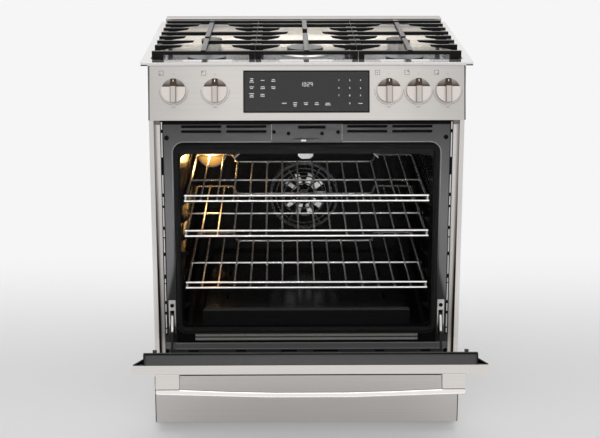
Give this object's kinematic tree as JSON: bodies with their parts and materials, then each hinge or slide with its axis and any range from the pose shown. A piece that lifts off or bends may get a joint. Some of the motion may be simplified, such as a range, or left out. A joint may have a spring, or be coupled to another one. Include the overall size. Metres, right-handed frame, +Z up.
{
  "type": "gas range",
  "caption": "Freestanding gas range with front knobs, cast iron grates over sealed burners, a convection oven with sliding wire racks and a bottom-hinged door, and a storage drawer.",
  "frame": {"origin": "on the floor, in the middle between the side panels and between the oven's front frame and the rear panel", "axes": "+X to the right seen from the front, +Y to the back, +Z up"},
  "size_m": [0.79, 1.2955, 0.953],
  "materials": {
    "stainless": "brushed stainless steel",
    "frame_enamel": "dark grey satin enamel",
    "oven_enamel": "black speckled porcelain enamel",
    "galvanised": "zinc plated sheet steel",
    "wire_chrome": "bright chrome wire",
    "grate_iron": "matt black enamelled cast iron",
    "cap_enamel": "satin black enamel",
    "burner_aluminium": "cast aluminium",
    "burner_steel": "aluminised steel tube",
    "stem_brass": "machined brass",
    "knob_metal": "satin metal",
    "black_glass": "opaque black glass",
    "clear_glass": "clear heat-resistant glass",
    "seal": "woven glass-fibre rope",
    "insulation": "mineral fibre blanket",
    "board": "circuit board",
    "foot_plastic": "moulded black plastic",
    "igniter_ceramic": "white ceramic"
  },
  "bodies": {
    "range": {"bake_burner": "burner_steel", "base_frame": "galvanised", "broil_burner": "burner_steel", "burner_bases": "burner_aluminium", "burner_caps": "cap_enamel", "burner_heads": "burner_aluminium", "control_board": "board", "control_panel": "stainless", "cooktop": "stainless", "display_glass": "black_glass", "door_gasket": "seal", "drawer_rails": "galvanised", "fan_cover": "oven_enamel", "fan_motor": "galvanised", "front_frame": "frame_enamel", "gas_regulator": "burner_aluminium", "hinge_arms": "galvanised", "hinge_receivers": "galvanised", "igniters": "igniter_ceramic", "lamp_lens": "clear_glass", "lamp_socket": "galvanised", "latch_plate": "frame_enamel", "leveling_feet": "foot_plastic", "manifold_pipe": "galvanised", "oven_cavity": "oven_enamel", "oven_floor": "oven_enamel", "oven_insulation": "insulation", "rack_guides": "oven_enamel", "rear_panel": "galvanised", "rear_trim": "stainless", "side_panel_left": "stainless", "side_panel_right": "stainless", "valve_bodies": "burner_aluminium"},
    "door": {"door_skin": "stainless", "door_liner": "frame_enamel", "door_outer_glass": "clear_glass", "door_inner_glass": "clear_glass", "handle_bar": "stainless", "handle_brackets": "stainless", "hinge_channels": "galvanised"},
    "drawer": {"drawer_front": "stainless", "drawer_box": "galvanised"},
    "upper_rack": {"rack_upper": "wire_chrome"},
    "middle_rack": {"rack_middle": "wire_chrome"},
    "lower_rack": {"rack_lower": "wire_chrome"},
    "fan": {"fan_wheel": "burner_aluminium"},
    "latch": {"door_latch": "galvanised"},
    "left_grate": {"grate_left": "grate_iron"},
    "centre_grate": {"grate_centre": "grate_iron"},
    "right_grate": {"grate_right": "grate_iron"},
    "stem_1": {"valve_stem_1": "stem_brass"},
    "dial_1": {"knob_1": "knob_metal"},
    "stem_2": {"valve_stem_2": "stem_brass"},
    "dial_2": {"knob_2": "knob_metal"},
    "stem_3": {"valve_stem_3": "stem_brass"},
    "dial_3": {"knob_3": "knob_metal"},
    "stem_4": {"valve_stem_4": "stem_brass"},
    "dial_4": {"knob_4": "knob_metal"},
    "stem_5": {"valve_stem_5": "stem_brass"},
    "dial_5": {"knob_5": "knob_metal"}
  },
  "joints": [
    {"name": "door_hinge", "type": "hinge", "parent": "range", "child": "door", "pos_m": [0, -0.3715, 0.17], "axis": [1, 0, 0], "range_deg": [-69.3, 20.7]},
    {"name": "drawer_slide", "type": "slide", "parent": "range", "child": "drawer", "axis": [0, -1, 0], "range_m": [0, 0.4]},
    {"name": "upper_rack_slide", "type": "slide", "parent": "range", "child": "upper_rack", "axis": [0, -1, 0], "range_m": [0, 0.28]},
    {"name": "middle_rack_slide", "type": "slide", "parent": "range", "child": "middle_rack", "axis": [0, -1, 0], "range_m": [0, 0.28]},
    {"name": "lower_rack_slide", "type": "slide", "parent": "range", "child": "lower_rack", "axis": [0, -1, 0], "range_m": [0, 0.28]},
    {"name": "fan_spin", "type": "hinge", "parent": "range", "child": "fan", "pos_m": [0, 0.18, 0.468], "axis": [0, 1, 0], "continuous": true},
    {"name": "latch_slide", "type": "slide", "parent": "range", "child": "latch", "axis": [1, 0, 0], "range_m": [0, 0.012]},
    {"name": "knob_1_turn", "type": "hinge", "parent": "range", "child": "stem_1", "pos_m": [-0.316, -0.36147, 0.86648], "axis": [0, -0.9647, 0.2633], "range_deg": [0, 210]},
    {"name": "knob_1_push", "type": "slide", "parent": "stem_1", "child": "dial_1", "axis": [0, 0.9647, -0.2633], "range_m": [0, 0.003], "stiffness_N_per_m": 1500, "springref_m": -0.003},
    {"name": "knob_2_turn", "type": "hinge", "parent": "range", "child": "stem_2", "pos_m": [-0.218, -0.36147, 0.86648], "axis": [0, -0.9647, 0.2633], "range_deg": [0, 210]},
    {"name": "knob_2_push", "type": "slide", "parent": "stem_2", "child": "dial_2", "axis": [0, 0.9647, -0.2633], "range_m": [0, 0.003], "stiffness_N_per_m": 1500, "springref_m": -0.003},
    {"name": "knob_3_turn", "type": "hinge", "parent": "range", "child": "stem_3", "pos_m": [0.194, -0.36147, 0.86648], "axis": [0, -0.9647, 0.2633], "range_deg": [0, 210]},
    {"name": "knob_3_push", "type": "slide", "parent": "stem_3", "child": "dial_3", "axis": [0, 0.9647, -0.2633], "range_m": [0, 0.003], "stiffness_N_per_m": 1500, "springref_m": -0.003},
    {"name": "knob_4_turn", "type": "hinge", "parent": "range", "child": "stem_4", "pos_m": [0.264, -0.36147, 0.86648], "axis": [0, -0.9647, 0.2633], "range_deg": [0, 210]},
    {"name": "knob_4_push", "type": "slide", "parent": "stem_4", "child": "dial_4", "axis": [0, 0.9647, -0.2633], "range_m": [0, 0.003], "stiffness_N_per_m": 1500, "springref_m": -0.003},
    {"name": "knob_5_turn", "type": "hinge", "parent": "range", "child": "stem_5", "pos_m": [0.334, -0.36147, 0.86648], "axis": [0, -0.9647, 0.2633], "range_deg": [0, 210]},
    {"name": "knob_5_push", "type": "slide", "parent": "stem_5", "child": "dial_5", "axis": [0, 0.9647, -0.2633], "range_m": [0, 0.003], "stiffness_N_per_m": 1500, "springref_m": -0.003},
    {"name": "left_grate_lift", "type": "slide", "parent": "range", "child": "left_grate", "axis": [0, 0, 1], "range_m": [0, 0.12]},
    {"name": "centre_grate_lift", "type": "slide", "parent": "range", "child": "centre_grate", "axis": [0, 0, 1], "range_m": [0, 0.12]},
    {"name": "right_grate_lift", "type": "slide", "parent": "range", "child": "right_grate", "axis": [0, 0, 1], "range_m": [0, 0.12]}
  ]
}
